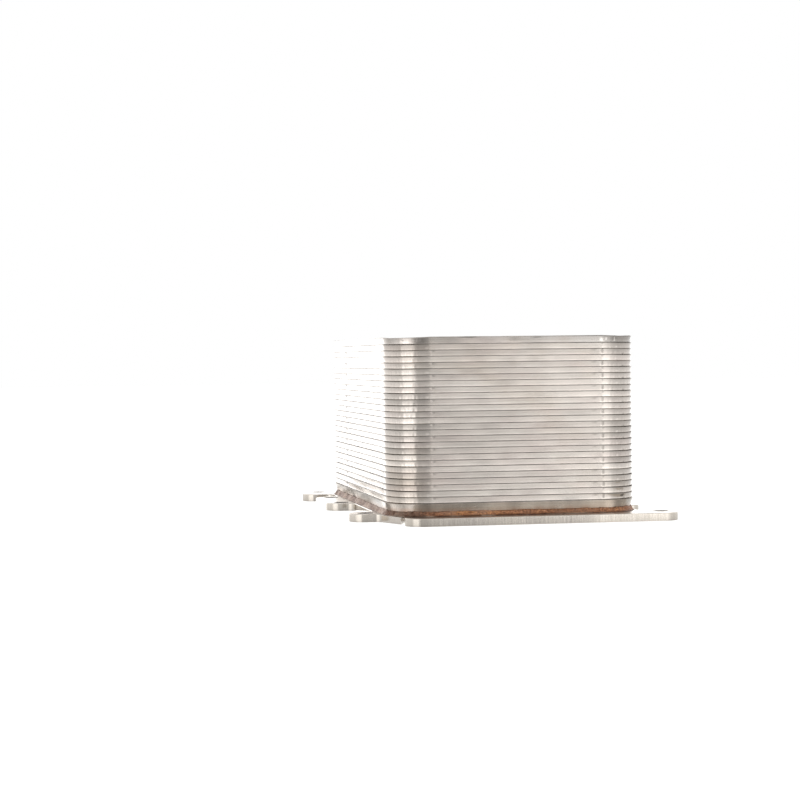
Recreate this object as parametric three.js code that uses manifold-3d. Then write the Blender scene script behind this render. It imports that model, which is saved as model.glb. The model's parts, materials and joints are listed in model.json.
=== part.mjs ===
// Brazed plate oil cooler on a bolt-down flange.
// Units are millimetres, +Z is up. The origin is the middle of the flange's underside.
// X runs across the short side of the plate stack and Y along its long side.
import * as THREE from "three";
import { mergeVertices } from "three/addons/utils/BufferGeometryUtils.js";
import Module from "manifold-3d";

const wasm = await Module();
wasm.setup();

// ---------------------------------------------------------------- driving dimensions

const GAP = 0.3; // clearance left wherever two brazed pieces face each other
const PLATE_COUNT = 26; // channel plates between the base plate and the cover plate
const PITCH = 3.3; // height from one plate to the next
const SHEET = 0.5; // channel plate sheet thickness

const STACK = { halfX: 70, halfY: 112.5, radius: 22.5 }; // outline at a plate's rim
const LAP = 1.5; // how far each rim rises past the floor of the plate above it
const SKIRT = PITCH + LAP; // height of a channel plate from its floor to its rim
const FLARE = (SHEET + GAP) / PITCH; // outward lean of the rims, so that they nest
const CORNER_STEPS = 4; // facets on each rounded corner of a plate

const FLANGE_THICKNESS = 4.5;
const BASE_FLOOR = FLANGE_THICKNESS + GAP; // underside of the base plate
const FIRST_RIM = 11.9; // rim of the base plate
const BASE_CHAMFER = 2.6; // the base plate's bottom bend, filled by the braze fillet
const COVER_SHEET = 1.5;
const COVER_RISE = 3.8; // the cover's rim above the rim of the last channel plate

const PORT = { x: 40, y: 82.5, radius: 14, collarRadius: 18.5, steps: 10, flangeSteps: 32 };
const OIL_SIDE = -1; // the two oil ports are on the -X side, the two coolant ports on +X
const COOLANT_SIDE = 1;

const FIN = { width: 124, length: 118, waves: 6, sheet: 0.4, land: 0.3 };
const BLANK = { radius: 17, rise: 1.2, steps: 20 }; // closed port positions on the cover

// The copper round the base plate's foot: how far it stands out, and the height of its edge.
const FILLET = { proud: 1.2, edge: 0.6 };

const BOLT_HOLE_RADIUS = 4.5; // clearance for M8
const BOLT_HOLE_STEPS = 20;
const DRILL_OVERRUN = 1; // how far a cutting tool passes the faces that it cuts
const ARC_STEP = Math.PI / 12; // turn of each facet on the flange's rounded stretches

const FLANGE = {
  left: -90, // outer edge of the rear left tab
  right: 90, // outer edge of the rear right tab
  frontTabReach: 89, // outer edge of the front right tab
  front: -124,
  back: 124,
  sideEdge: 71.5, // plain edge between the ears, just proud of the stack
  earReach: 87, // outer edge of an ear
  frontCut: -63, // where the front edge stops and the left corner is cut back
  frontCutDepth: 20,
  tabBack: -100.5, // rear edge of the front right tab
  leftTabFront: 92, // front edge of the rear left tab
  rightTabFront: 104, // front edge of the rear right tab
};
const EAR = { halfWidth: 9.5, tipRadius: 9.45, rootRadius: 5 };
const LUG = { y: -57.5, halfWidth: 5, tipRadius: 4.95, rootRadius: 3, reach: 84 };
const EAR_Y = { left: -73, right: -15, middleLeft: 16, rear: 59.5 };
const FRONT_CUT_RADII = { front: 10.5, side: 6 };
const TAB_HOLE_X = 81; // hole in each right tab

// ---------------------------------------------------------------- materials

function metal(color, roughness) {
  return new THREE.MeshStandardMaterial({ color, roughness, metalness: 1 });
}

const stainless = () => metal(0xc9c1b8, 0.32);
const heavyStainless = () => metal(0xa8a099, 0.3);
const copper = () => metal(0x9a6a4c, 0.5);
const platedSteel = () => metal(0xcfc9bf, 0.38);
const finStock = () => metal(0xb9b6b0, 0.4);

// ---------------------------------------------------------------- solids

function toSolid(geometry) {
  const bare = geometry.clone();
  bare.deleteAttribute("normal");
  bare.deleteAttribute("uv");
  const merged = mergeVertices(bare, 1e-4);
  return new wasm.Manifold(
    new wasm.Mesh({
      numProp: 3,
      vertProperties: merged.attributes.position.array,
      triVerts: new Uint32Array(merged.index.array),
    }),
  );
}

function toGeometry(solid) {
  const mesh = solid.getMesh();
  const geometry = new THREE.BufferGeometry();
  geometry.setAttribute("position", new THREE.BufferAttribute(mesh.vertProperties, 3));
  geometry.setIndex(new THREE.BufferAttribute(mesh.triVerts, 1));
  geometry.computeVertexNormals();
  return geometry;
}

// An upright prism with a regular outline.
function disc(x, y, bottom, top, radius, steps) {
  const cylinder = new THREE.CylinderGeometry(radius, radius, top - bottom, steps);
  cylinder.rotateX(Math.PI / 2);
  cylinder.translate(x, y, (top + bottom) / 2);
  return toSolid(cylinder);
}

// The stack's outline drawn in by `inset`, as a ring of points at height z.
function outlineRing(inset, z) {
  const radius = STACK.radius - inset;
  const cx = STACK.halfX - STACK.radius;
  const cy = STACK.halfY - STACK.radius;
  const corners = [[cx, cy], [-cx, cy], [-cx, -cy], [cx, -cy]];
  return corners.flatMap(([x, y], quarter) =>
    Array.from({ length: CORNER_STEPS + 1 }, (_, step) => {
      const angle = ((quarter + step / CORNER_STEPS) * Math.PI) / 2;
      return [x + radius * Math.cos(angle), y + radius * Math.sin(angle), z];
    }),
  );
}

// Joins neighbouring rings with walls. `closed` joins the last ring to the first;
// otherwise flat faces close the first ring below and the last ring above.
function loft(rings, closed) {
  const count = rings[0].length;
  const faces = [];
  const lofts = closed ? rings.length : rings.length - 1;
  for (let ring = 0; ring < lofts; ring++) {
    const here = ring * count;
    const next = ((ring + 1) % rings.length) * count;
    for (let i = 0; i < count; i++) {
      const j = (i + 1) % count;
      faces.push(here + i, here + j, next + j);
      faces.push(here + i, next + j, next + i);
    }
  }
  if (!closed) {
    const last = (rings.length - 1) * count;
    for (let i = 1; i < count - 1; i++) {
      faces.push(0, i + 1, i);
      faces.push(last, last + i, last + i + 1);
    }
  }
  const geometry = new THREE.BufferGeometry();
  geometry.setAttribute("position", new THREE.Float32BufferAttribute(rings.flat(2), 3));
  geometry.setIndex(faces);
  return geometry;
}

// ---------------------------------------------------------------- pressed plates

const ports = [OIL_SIDE, COOLANT_SIDE].flatMap((side) =>
  [-1, 1].map((end) => ({ side, x: side * PORT.x, y: end * PORT.y })),
);

const rimHeight = (level) => FIRST_RIM + level * PITCH;
const floorHeight = (level) => rimHeight(level) - SKIRT;

// Cuts the four ports, after raising a collar round the two on `sealedSide`. The
// collars meet the plate above, so that one of the two fluids passes this channel by.
function cutPorts(plate, bottom, collarTop, sealedSide) {
  let solid = plate;
  for (const port of ports) {
    if (port.side === sealedSide) {
      const collar = disc(port.x, port.y, bottom, collarTop, PORT.collarRadius, PORT.steps);
      solid = solid.add(collar);
    }
  }
  for (const port of ports) {
    const from = bottom - DRILL_OVERRUN;
    const to = collarTop + DRILL_OVERRUN;
    solid = solid.subtract(disc(port.x, port.y, from, to, PORT.radius, PORT.steps));
  }
  return solid;
}

// Collars alternate: plates at odd levels carry oil above them and seal off the coolant.
const sealedSideAbove = (level) => (level % 2 ? COOLANT_SIDE : OIL_SIDE);

function channelPlate(level) {
  const floor = floorHeight(level);
  const rim = rimHeight(level);
  const foot = FLARE * SKIRT;
  const dish = loft([
    outlineRing(foot, floor),
    outlineRing(0, rim),
    outlineRing(SHEET, rim),
    outlineRing(foot + SHEET - FLARE * SHEET, floor + SHEET),
  ]);
  const collarTop = floorHeight(level + 1) - GAP;
  return cutPorts(toSolid(dish), floor, collarTop, sealedSideAbove(level));
}

// The thick bottom dish. Its bottom bend is cut back for the braze fillet.
function basePlate() {
  const floorTop = floorHeight(1) - (PITCH - SHEET);
  const foot = FLARE * (FIRST_RIM - BASE_FLOOR - BASE_CHAMFER);
  const dish = loft([
    outlineRing(foot + BASE_CHAMFER, BASE_FLOOR),
    outlineRing(foot, BASE_FLOOR + BASE_CHAMFER),
    outlineRing(0, FIRST_RIM),
    outlineRing(SHEET, FIRST_RIM),
    outlineRing(SHEET + FLARE * (FIRST_RIM - floorTop), floorTop),
  ]);
  const collarTop = floorHeight(1) - GAP;
  return cutPorts(toSolid(dish), BASE_FLOOR, collarTop, sealedSideAbove(0));
}

// The closed top dish, with a raised blank where each port would be.
function coverPlate() {
  const bottom = floorHeight(PLATE_COUNT + 1);
  const rim = rimHeight(PLATE_COUNT) + COVER_RISE;
  const foot = FLARE * (rim - bottom);
  const floorTop = bottom + COVER_SHEET;
  let solid = toSolid(
    loft([
      outlineRing(foot, bottom),
      outlineRing(0, rim),
      outlineRing(SHEET, rim),
      outlineRing(foot + SHEET - FLARE * COVER_SHEET, floorTop),
    ]),
  );
  for (const port of ports) {
    const blank = disc(port.x, port.y, bottom, floorTop + BLANK.rise, BLANK.radius, BLANK.steps);
    solid = solid.add(blank);
  }
  return solid;
}

// ---------------------------------------------------------------- inside and under the stack

// The corrugated turbulator sheet of one oil channel, between the two rows of ports.
function turbulator(level) {
  const bottom = floorHeight(level) + SHEET + GAP;
  const height = PITCH - SHEET - 2 * GAP;
  const wave = FIN.width / FIN.waves;
  const crest = height - FIN.sheet;
  const upper = [];
  for (let i = 0; i < FIN.waves; i++) {
    const start = i * wave - FIN.width / 2;
    upper.push([start, 0], [start + FIN.land * wave, 0]);
    upper.push([start + 0.5 * wave, crest], [start + (0.5 + FIN.land) * wave, crest]);
  }
  upper.push([FIN.width / 2, 0]);
  const shape = new THREE.Shape();
  shape.moveTo(...upper[0]);
  upper.slice(1).forEach(([x, z]) => shape.lineTo(x, z));
  [...upper].reverse().forEach(([x, z]) => shape.lineTo(x, z + FIN.sheet));
  const sheet = new THREE.ExtrudeGeometry(shape, { depth: FIN.length, bevelEnabled: false });
  sheet.rotateX(Math.PI / 2);
  sheet.translate(0, FIN.length / 2, bottom);
  return toSolid(sheet);
}

// The copper that wells out between the base plate's bottom bend and the flange.
function brazeFillet() {
  const baseFoot = FLARE * (FIRST_RIM - BASE_FLOOR - BASE_CHAMFER);
  const crest = BASE_FLOOR + BASE_CHAMFER - GAP;
  const fillet = loft(
    [
      outlineRing(baseFoot + BASE_CHAMFER - GAP, BASE_FLOOR),
      outlineRing(baseFoot - FILLET.proud, BASE_FLOOR),
      outlineRing(baseFoot - FILLET.proud, BASE_FLOOR + FILLET.edge),
      outlineRing(baseFoot - GAP, crest),
      outlineRing(baseFoot + GAP, crest),
    ],
    true,
  );
  return toSolid(fillet);
}

// ---------------------------------------------------------------- flange

const earHoleX = FLANGE.earReach - EAR.halfWidth;
const boltHoles = [
  { x: -earHoleX, y: EAR_Y.left },
  { x: -earHoleX, y: EAR_Y.middleLeft },
  { x: -earHoleX, y: EAR_Y.rear },
  { x: -earHoleX, y: 115 },
  { x: TAB_HOLE_X, y: -110 },
  { x: earHoleX, y: EAR_Y.right },
  { x: earHoleX, y: EAR_Y.rear },
  { x: TAB_HOLE_X, y: 114.5 },
];

// Points on the arc round `centre` from angle `from`, turning through `sweep`.
function arcPoints(centre, radius, from, sweep, steps) {
  return Array.from({ length: steps + 1 }, (_, step) => {
    const angle = from + (sweep * step) / steps;
    const x = centre.x + radius * Math.cos(angle);
    const y = centre.y + radius * Math.sin(angle);
    return new THREE.Vector2(x, y);
  });
}

// Rounds each corner [x, y, radius] of an outline that runs anticlockwise.
function roundedOutline(corners) {
  const count = corners.length;
  const at = (index) => new THREE.Vector2(...corners[(index + count) % count].slice(0, 2));
  const points = corners.flatMap(([, , radius], index) => {
    const here = at(index);
    const back = at(index - 1).sub(here).normalize();
    const on = at(index + 1).sub(here).normalize();
    const inside = Math.acos(back.dot(on)); // angle between the two edges
    const middle = back.clone().add(on).normalize();
    const centre = here.clone().addScaledVector(middle, radius / Math.sin(inside / 2));
    const start = here.clone().addScaledVector(back, radius / Math.tan(inside / 2));
    const from = Math.atan2(start.y - centre.y, start.x - centre.x);
    const sweep = (Math.PI - inside) * (back.cross(on) < 0 ? 1 : -1);
    const steps = Math.max(2, Math.round(Math.abs(sweep) / ARC_STEP));
    return arcPoints(centre, radius, from, sweep, steps);
  });
  return new THREE.Shape(points);
}

// A projection on one side: two root fillets and a rounded end. Points run towards +Y on
// the right side (side = 1) and towards -Y on the left side (side = -1).
function ear(side, y, { halfWidth, tipRadius, rootRadius, reach = FLANGE.earReach }) {
  return [
    [side * FLANGE.sideEdge, y - side * halfWidth, rootRadius],
    [side * reach, y - side * halfWidth, tipRadius],
    [side * reach, y + side * halfWidth, tipRadius],
    [side * FLANGE.sideEdge, y + side * halfWidth, rootRadius],
  ];
}

// The long ear on the left takes in the two holes at its ends.
function longEar() {
  const rear = EAR_Y.rear + EAR.halfWidth;
  const front = EAR_Y.middleLeft - EAR.halfWidth;
  return [
    [-FLANGE.sideEdge, rear, EAR.rootRadius],
    [-FLANGE.earReach, rear, EAR.tipRadius],
    [-FLANGE.earReach, front, EAR.tipRadius],
    [-FLANGE.sideEdge, front, EAR.rootRadius],
  ];
}

function flange() {
  const outline = roundedOutline([
    [FLANGE.frontCut, FLANGE.front, FRONT_CUT_RADII.front],
    [FLANGE.frontTabReach, FLANGE.front, EAR.tipRadius],
    [FLANGE.frontTabReach, FLANGE.tabBack, EAR.tipRadius],
    [FLANGE.sideEdge, FLANGE.tabBack, EAR.rootRadius],
    ...ear(1, LUG.y, LUG),
    ...ear(1, EAR_Y.right, EAR),
    ...ear(1, EAR_Y.rear, EAR),
    [FLANGE.sideEdge, FLANGE.rightTabFront, EAR.rootRadius],
    [FLANGE.right, FLANGE.rightTabFront, EAR.tipRadius],
    [FLANGE.right, FLANGE.back, EAR.tipRadius],
    [FLANGE.left, FLANGE.back, EAR.tipRadius],
    [FLANGE.left, FLANGE.leftTabFront, EAR.tipRadius],
    [-FLANGE.sideEdge, FLANGE.leftTabFront, EAR.rootRadius],
    ...longEar(),
    ...ear(-1, EAR_Y.left, EAR),
    [FLANGE.frontCut, FLANGE.front + FLANGE.frontCutDepth, FRONT_CUT_RADII.side],
  ]);
  const blank = new THREE.ExtrudeGeometry(outline, {
    depth: FLANGE_THICKNESS,
    bevelEnabled: false,
  });
  let solid = toSolid(blank);
  const drill = ({ x, y }, radius, steps) => {
    const to = FLANGE_THICKNESS + DRILL_OVERRUN;
    solid = solid.subtract(disc(x, y, -DRILL_OVERRUN, to, radius, steps));
  };
  boltHoles.forEach((hole) => drill(hole, BOLT_HOLE_RADIUS, BOLT_HOLE_STEPS));
  ports.forEach((port) => drill(port, PORT.radius, PORT.flangeSteps));
  return solid;
}

// ---------------------------------------------------------------- assembly

const cooler = new THREE.Group();

function place(name, solid, material) {
  const mesh = new THREE.Mesh(toGeometry(solid), material);
  mesh.name = name;
  cooler.add(mesh);
}

const numbered = (name, number) => `${name}_${String(number).padStart(2, "0")}`;

place("mounting_flange", flange(), platedSteel());
place("braze_fillet", brazeFillet(), copper());
place("base_plate", basePlate(), heavyStainless());
for (let level = 1; level <= PLATE_COUNT; level++) {
  place(numbered("channel_plate", level), channelPlate(level), stainless());
}
for (let level = 1; level <= PLATE_COUNT; level += 2) {
  place(numbered("turbulator", (level + 1) / 2), turbulator(level), finStock());
}
place("cover_plate", coverPlate(), stainless());

export default cooler;
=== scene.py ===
"""Brazed plate oil cooler: the detailed visual model, built round the packed CAD frame.

Shapes are worked out in millimetres and turned into metres when a mesh is made. Each plate
is a dish: a wall profile swept round the stack's outline and closed by a floor with ports.
"""
import json
import math
import random
from collections import namedtuple

import bpy
import numpy as np
from mathutils import Euler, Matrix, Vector
from mathutils.geometry import delaunay_2d_cdt


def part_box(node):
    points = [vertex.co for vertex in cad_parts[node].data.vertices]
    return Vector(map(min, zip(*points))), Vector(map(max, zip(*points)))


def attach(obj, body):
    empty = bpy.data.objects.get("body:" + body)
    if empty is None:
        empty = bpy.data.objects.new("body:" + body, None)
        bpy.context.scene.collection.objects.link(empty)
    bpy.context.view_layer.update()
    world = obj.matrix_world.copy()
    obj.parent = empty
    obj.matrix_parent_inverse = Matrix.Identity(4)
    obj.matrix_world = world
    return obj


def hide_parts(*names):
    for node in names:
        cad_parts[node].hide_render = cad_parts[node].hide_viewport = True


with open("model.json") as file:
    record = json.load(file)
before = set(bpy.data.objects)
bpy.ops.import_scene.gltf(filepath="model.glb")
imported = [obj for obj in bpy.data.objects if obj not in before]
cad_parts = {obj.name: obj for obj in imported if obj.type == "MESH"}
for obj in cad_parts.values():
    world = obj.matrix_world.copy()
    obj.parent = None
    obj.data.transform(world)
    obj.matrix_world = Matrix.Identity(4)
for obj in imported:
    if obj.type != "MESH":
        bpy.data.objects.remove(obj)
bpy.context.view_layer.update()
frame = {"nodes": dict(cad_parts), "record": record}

MM = 0.001


def box_mm(node):
    """Lowest and highest corner of a CAD node, in millimetres."""
    low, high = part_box(node)
    return np.array(low) / MM, np.array(high) / MM


def numbered(name, number):
    return f"{name}_{number:02d}"


# ------------------------------------------------------------------ driving dimensions

PLATE_COUNT = 26
PLATE_LOW, PLATE_HIGH = box_mm(numbered("channel_plate", 1))
HALF_X, HALF_Y = PLATE_HIGH[:2]
PITCH = box_mm(numbered("channel_plate", 2))[1][2] - PLATE_HIGH[2]
CORNER_RADIUS = 22.5  # of the stack's outline
CORNER_STEPS = 56

SHEET = 0.5  # channel plates
COVER_SHEET = 1.5
BASE_SHEET = 2.8
LIP_RADIUS = 0.2  # rounding of a channel plate's rim
COVER_LIP_RADIUS = 0.36
RIM_SHADOW = 0.06  # how far a wall stands back just under its rim
FOOT_LIFT = 0.06  # between the foot of a visible wall and the rim below it
KNEE_LIFT = 0.02  # between the bend into a plate's floor and the rim below it
FLOOR_BEND = 2.2  # how far in the bend from wall to floor reaches
BASE_FLOOR_BEND = 2.6

PORT_RADIUS = 14.0
PORT_STEPS = 48
COLLAR_RADIUS = 18.5
COLLAR_GAP = 0.3  # between a collar and the plate above it
BLANK_RADIUS = 18.0  # closed port positions on the cover
BLANK_RISE = 1.2

BOLT_HOLE_RADIUS = 4.5
BOLT_HOLE_STEPS = 40
FLANGE_LOW, FLANGE_HIGH = box_mm("mounting_flange")
SIDE_EDGE = 71.5  # the flange's plain edge between its ears
FRONT_CUT = -63.0  # where the front edge stops and the left corner is cut back
FRONT_CUT_BACK = 20.0  # how far it is cut back
FRONT_CUT_RADII = 10.5, 6.0  # of the cut's outer and inner corners
FRONT_TAB_REACH, TAB_BACK = 89.0, -100.5  # outer and rear edges of the front right tab
LEFT_TAB_FRONT, RIGHT_TAB_FRONT = 92.0, 104.0  # front edges of the two rear tabs
EAR_REACH, EAR_HALF_WIDTH = 87.0, 9.5
EAR_TIP, EAR_ROOT = 9.45, 5.0  # radii of an ear's outer and inner corners
LEFT_EAR_Y, RIGHT_EAR_Y, REAR_EAR_Y = -73.0, -15.0, 59.5
LONG_EAR_FRONT, LONG_EAR_REAR = 6.5, 69.0  # the left ear that takes in two holes
LUG_Y, LUG = -57.5, {"half": 5.0, "tip": 4.95, "root": 3.0, "reach": 84.0}  # the small ear

OIL_SIDE, COOLANT_SIDE = -1, 1

# ------------------------------------------------------------------ node trees


class Nodes:
    """A node tree, with short calls for the nodes used here."""

    def __init__(self, tree):
        self.tree = tree

    def node(self, kind, *inputs, **settings):
        made = self.tree.nodes.new("ShaderNode" + kind)
        for key, value in settings.items():
            setattr(made, key, value)
        for socket, value in inputs:
            self.feed(made.inputs[socket], value)
        return made

    def feed(self, socket, value):
        if isinstance(value, bpy.types.NodeSocket):
            self.tree.links.new(value, socket)
        else:
            socket.default_value = value

    def span(self, value, from_low, from_high, to_low, to_high):
        """A value stretched from one range to another, and held inside it."""
        made = self.node(
            "MapRange",
            ("Value", value),
            ("From Min", from_low),
            ("From Max", from_high),
            ("To Min", to_low),
            ("To Max", to_high),
        )
        return made.outputs["Result"]

    def math(self, operation, a, b):
        return self.node("Math", (0, a), (1, b), operation=operation).outputs["Value"]

    def product(self, first, *others):
        for other in others:
            first = self.math("MULTIPLY", first, other)
        return first

    def mix(self, factor, a, b, blend="MIX"):
        made = self.node("Mix", data_type="RGBA", blend_type=blend)
        for socket, value in (("Factor_Float", factor), ("A_Color", a), ("B_Color", b)):
            self.feed(next(s for s in made.inputs if s.identifier == socket), value)
        return next(s for s in made.outputs if s.identifier == "Result_Color")

    def shade(self, colour, tone):
        """A colour times a tone from a value socket."""
        tones = self.node("CombineColor", (0, tone), (1, tone), (2, tone)).outputs[0]
        return self.mix(1.0, colour, tones, "MULTIPLY")


class Shader(Nodes):
    """A metal's node tree, from places on the piece to its Principled shader."""

    def __init__(self, name):
        self.material = bpy.data.materials.new(name)
        self.material.use_nodes = True
        super().__init__(self.material.node_tree)
        self.surface = self.tree.nodes["Principled BSDF"]
        self.place = self.node("TexCoord").outputs["Object"]

    def attribute(self, name):
        return self.node("Attribute", attribute_name=name).outputs["Fac"]

    def noise(self, per_metre, detail=3.0, roughness=0.5, offset=(0, 0, 0)):
        """Noise with so many cells to the metre along X, Y and Z, from 0 to 1."""
        stretched = self.node(
            "Mapping", ("Vector", self.place), ("Scale", per_metre), ("Location", offset)
        )
        made = self.node(
            "TexNoise",
            ("Vector", stretched.outputs["Vector"]),
            ("Scale", 1.0),
            ("Detail", detail),
            ("Roughness", roughness),
        )
        return made.outputs["Fac"]

    def bump(self, height, distance, normal=None):
        """Bump of a height from 0 to 1 that stands `distance` millimetres at most."""
        made = self.node("Bump", ("Height", height), ("Distance", distance * MM))
        if normal is not None:
            self.feed(made.inputs["Normal"], normal)
        return made.outputs["Normal"]

    def finish(self, colour, roughness, normal):
        self.feed(self.surface.inputs["Base Color"], colour)
        self.feed(self.surface.inputs["Roughness"], roughness)
        self.feed(self.surface.inputs["Normal"], normal)
        self.surface.inputs["Metallic"].default_value = 1.0
        return self.material


# ------------------------------------------------------------------ materials

# The materials read five values at each point of a mesh: `edge`, how much of the dark
# sheared rim and of the painted shadow just under it shows, and on the copper how much of
# the dark flux colours and painted shade; `drop`, millimetres below the rim; `corner`, 1 in
# the middle of a corner and 0 on a straight side; `tint`, how bright the metal is, painted
# highlights, reflections and shade of the marks included, and on the copper its painted
# glints and shade; `bore`, how strongly painted shade darkens the inside of a hole.

BROWN_STAIN = (0.43, 0.34, 0.25, 1)
COPPER_BLUSH = (0.60, 0.49, 0.455, 1)
COPPER_HAZE = (0.36, 0.2, 0.12, 1)


def stainless(name, dull, bright, edge_colour, roughness, haze=0.0, smudge=0.0):
    """Drawn stainless sheet: rolling streaks along the band, draw marks in the corners,
    light staining, a faint copper blush and dark sheared rims. It can have smudges, and a
    copper haze over its lowest millimetres."""
    m = Shader(name)
    edge, drop, corner = m.attribute("edge"), m.attribute("drop"), m.attribute("corner")
    streaks = m.noise((16, 16, 2300), detail=4.0, roughness=0.65)
    clouds = m.noise((45, 45, 200), detail=3.0, offset=(3, 1, 2))
    grain = m.noise((5200, 5200, 5200), detail=2.0)
    furrows = m.noise((900, 900, 110), detail=3.0, roughness=0.6, offset=(5, 5, 0))
    stain = m.span(m.noise((22, 22, 34), detail=4.0, offset=(7, 2, 5)), 0.56, 0.78, 0.0, 0.32)

    tone = m.math(
        "ADD", m.span(streaks, 0.25, 0.75, -0.09, 0.09), m.span(clouds, 0.2, 0.8, 0.94, 1.06)
    )
    sheet = m.shade(m.mix(m.attribute("tint"), dull, bright), tone)
    sheet = m.mix(stain, sheet, BROWN_STAIN)
    # Painted highlight: a tenth brighter from 2.8 mm below the rim down, rising from 1.9 mm.
    sheet = m.shade(sheet, m.span(drop, 1.9, 2.8, 1.0, 1.1))
    blush = m.span(m.noise((34, 34, 170), detail=3.0, offset=(2, 5, 8)), 0.42, 0.7, 0.0, 0.25)
    sheet = m.mix(blush, sheet, COPPER_BLUSH)
    if smudge:
        wiped = m.noise((85, 85, 30), detail=3.0, offset=(6, 2, 4))
        sheet = m.shade(sheet, m.span(wiped, 0.35, 0.65, 1 - smudge, 1 + smudge))
    rubbed = m.product(corner, m.span(furrows, 0.42, 0.62, -0.07, 0.06))
    sheet = m.shade(sheet, m.math("ADD", rubbed, 1.0))
    if haze:
        smear = m.noise((160, 160, 60), detail=4.0, offset=(1, 6, 2))
        low = m.span(drop, 2.2, 4.6, 0.0, haze)
        hazy = m.product(low, m.span(smear, 0.3, 0.6, 0.2, 1.0))
        sheet = m.mix(hazy, sheet, COPPER_HAZE)

    worn = m.span(m.noise((110, 110, 40), detail=3.0, offset=(9, 4, 1)), 0.3, 0.7, 0.7, 1.0)
    worn = m.product(worn, m.span(corner, 0.2, 0.9, 1.0, 0.74))
    near_rim = m.span(drop, 0.4, 1.2, 1.0, 0.0)
    ticks = m.product(corner, m.span(furrows, 0.52, 0.62, 0.0, 0.5), near_rim)
    dark = m.math("MAXIMUM", m.product(edge, worn), ticks)
    sheet = m.mix(dark, sheet, edge_colour)

    rough = m.math(
        "ADD",
        m.span(clouds, 0.2, 0.8, roughness - 0.03, roughness + 0.04),
        m.span(streaks, 0.3, 0.7, -0.02, 0.03),
    )
    rough = m.math("ADD", rough, m.product(dark, 0.25))
    relief = m.bump(streaks, 0.014)
    relief = m.bump(m.product(furrows, corner), 0.028, relief)
    relief = m.bump(grain, 0.0015, relief)
    return m.finish(sheet, rough, relief)


BURNT_COPPER = (0.085, 0.045, 0.03, 1)
PLAIN_COPPER = (0.42, 0.195, 0.105, 1)
COPPER_GLINT = (0.85, 0.41, 0.15, 1)
COPPER_ASH = (0.34, 0.23, 0.17, 1)
PALE_SPECK = (0.6, 0.5, 0.43, 1)
DARK_FLUX_AND_SHADE = (0.055, 0.033, 0.024, 1)
PALE_FLUX_AND_SHADE = (0.27, 0.22, 0.18, 1)


def copper_braze():
    """Copper that ran and froze: matt, mottled from bright new copper to dark flux brown.
    Its `tint` is 0 on plain copper, above 0 where new copper glows and below 0 where burnt."""
    m = Shader("copper_braze")
    mottle = m.noise((950, 950, 1300), detail=5.0, roughness=0.75)
    specks = m.noise((1500, 1500, 1800), detail=3.0, roughness=0.7, offset=(4, 4, 4))
    rim, glint_and_shade = m.attribute("edge"), m.attribute("tint")
    copper = m.mix(m.span(mottle, 0.36, 0.64, 0.0, 1.0), BURNT_COPPER, PLAIN_COPPER)
    # Painted glints: specks of bright orange copper where `tint` is above 0; painted shade where
    # it is below 0.
    glints = m.product(glint_and_shade, m.span(specks, 0.5, 0.6, 0.0, 1.0))
    copper = m.mix(glints, copper, COPPER_GLINT)
    copper = m.shade(copper, m.span(glint_and_shade, -1.0, 0.0, 0.4, 1.0))
    ash = m.span(m.noise((75, 75, 200), detail=4.0, offset=(8, 1, 3)), 0.56, 0.72, 0.0, 0.35)
    copper = m.mix(ash, copper, COPPER_ASH)
    copper = m.mix(m.span(specks, 0.64, 0.74, 0.0, 0.8), copper, PALE_SPECK)
    # Dark and pale flux colours along the `edge` mask: flux at the bead's foot and top, with
    # painted shade there, and painted shade over the bead's left side.
    flux = m.span(m.noise((120, 120, 120), detail=3.0, offset=(2, 7, 1)), 0.46, 0.58, 0.0, 1.0)
    flux_and_shade = m.mix(flux, DARK_FLUX_AND_SHADE, PALE_FLUX_AND_SHADE)
    copper = m.mix(m.product(rim, 0.65), copper, flux_and_shade)
    rough = m.span(mottle, 0.3, 0.7, 0.6, 0.36)
    relief = m.bump(mottle, 0.28)
    relief = m.bump(specks, 0.1, relief)
    return m.finish(copper, rough, relief)


DULL_PLATING = (0.435, 0.40, 0.365, 1)
YELLOW_PLATING = (0.505, 0.465, 0.41, 1)
SCUFFED_PLATING = (0.40, 0.375, 0.34, 1)
TORN_STEEL = (0.36, 0.33, 0.285, 1)
BANDED_STEEL = (0.42, 0.38, 0.32, 1)
# Painted shade for the inside of the holes.
HOLE_SHADE = (0.09, 0.09, 0.095, 1)


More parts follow.
